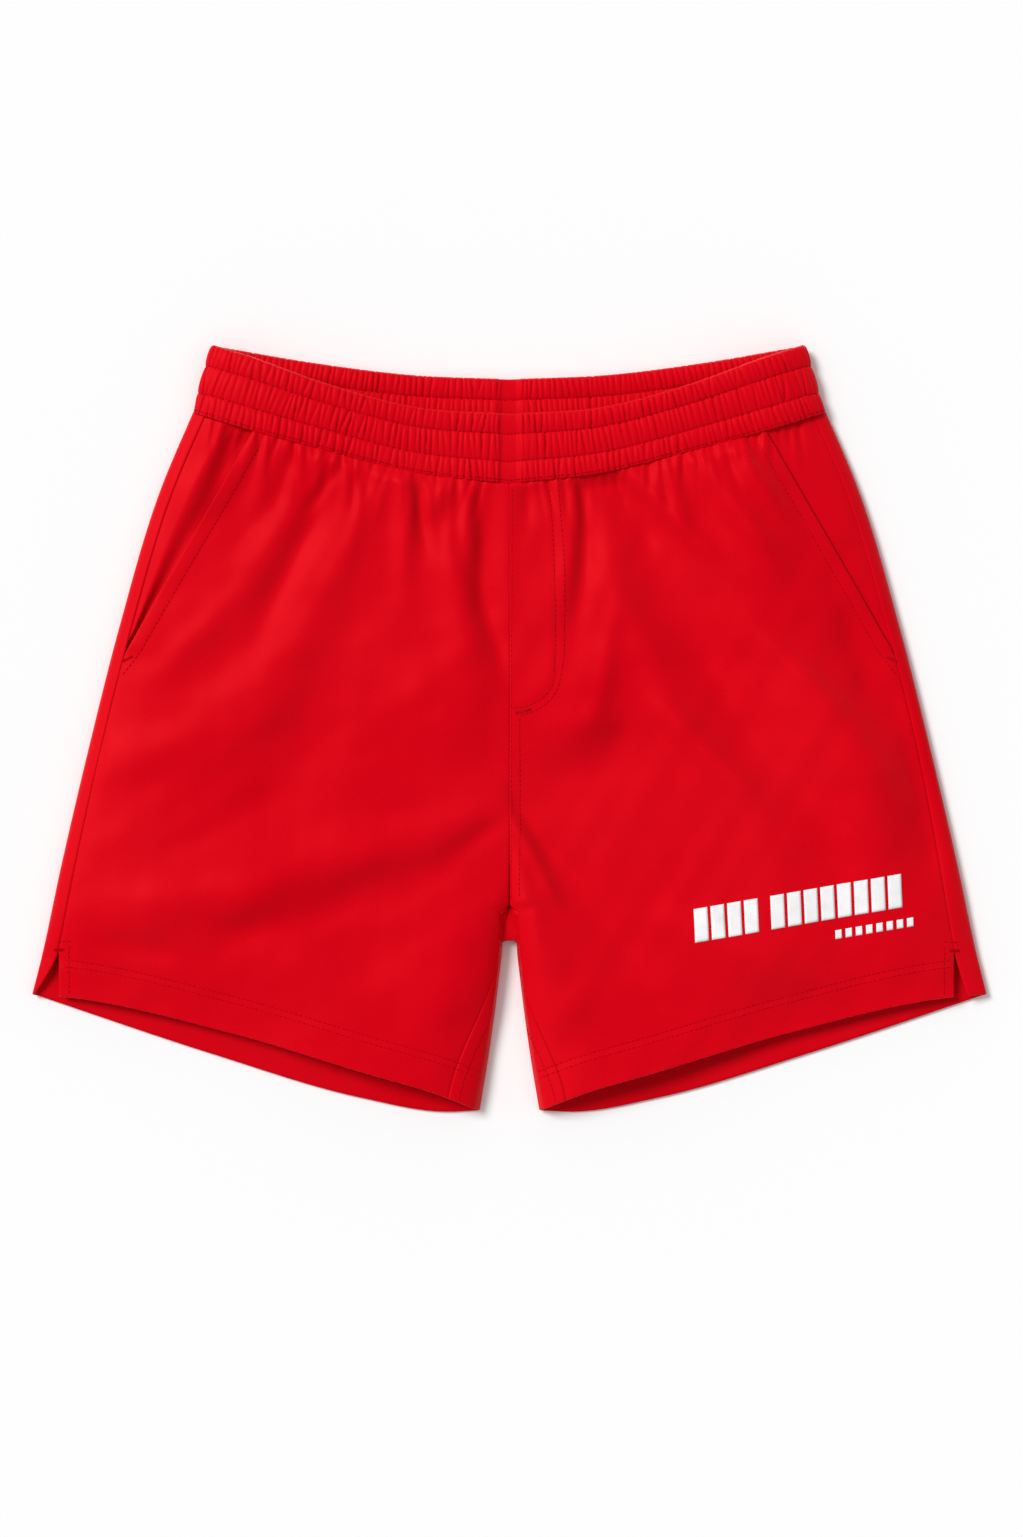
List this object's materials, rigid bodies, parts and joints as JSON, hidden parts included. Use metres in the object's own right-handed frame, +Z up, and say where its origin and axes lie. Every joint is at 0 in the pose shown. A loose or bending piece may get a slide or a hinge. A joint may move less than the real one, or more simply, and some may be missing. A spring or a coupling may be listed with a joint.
{
  "type": "boxing shorts",
  "caption": "Loose thigh-length sports shorts with a gathered elastic waistband, slanted side pockets, a stitched mock fly and short side slits, lying flat.",
  "frame": {"origin": "under the middle of the bounding box, on the surface that the shorts lie on", "axes": "+X to the wearer's left, which is also the widest way, +Y from the hems up to the waist, +Z up out of the front of the shorts"},
  "size_m": [0.592, 0.4737, 0.0211],
  "materials": {
    "shell_cloth": "smooth satin-faced woven polyester with a soft sheen",
    "pocket_lining": "thin matt woven polyester lining",
    "elastic": "knitted elastic webbing",
    "thread": "spun polyester sewing thread, dense bar tack",
    "print_film": "thin white transfer print with a slight sheen"
  },
  "bodies": {
    "right_half": {"front_panel_right": "shell_cloth", "back_panel_right": "shell_cloth", "pocket_facing_right": "shell_cloth", "pocket_bag_front_right": "pocket_lining", "pocket_bag_back_right": "pocket_lining", "waistband_casing_right": "shell_cloth", "waist_elastic_right": "elastic", "pocket_tack_low_right": "thread", "pocket_tack_top_right": "thread", "slit_tack_right": "thread"},
    "left_half": {"front_panel_left": "shell_cloth", "back_panel_left": "shell_cloth", "pocket_facing_left": "shell_cloth", "pocket_bag_front_left": "pocket_lining", "pocket_bag_back_left": "pocket_lining", "waistband_casing_left": "shell_cloth", "waist_elastic_left": "elastic", "pocket_tack_low_left": "thread", "pocket_tack_top_left": "thread", "slit_tack_left": "thread", "fly_facing": "shell_cloth", "fly_tack": "thread", "leg_print": "print_film", "leg_print_line": "print_film"}
  },
  "joints": [
    {"name": "half_fold", "type": "hinge", "parent": "right_half", "child": "left_half", "pos_m": [0, 0, 0.023], "axis": [0, -1, 0], "range_deg": [0, 180]}
  ]
}
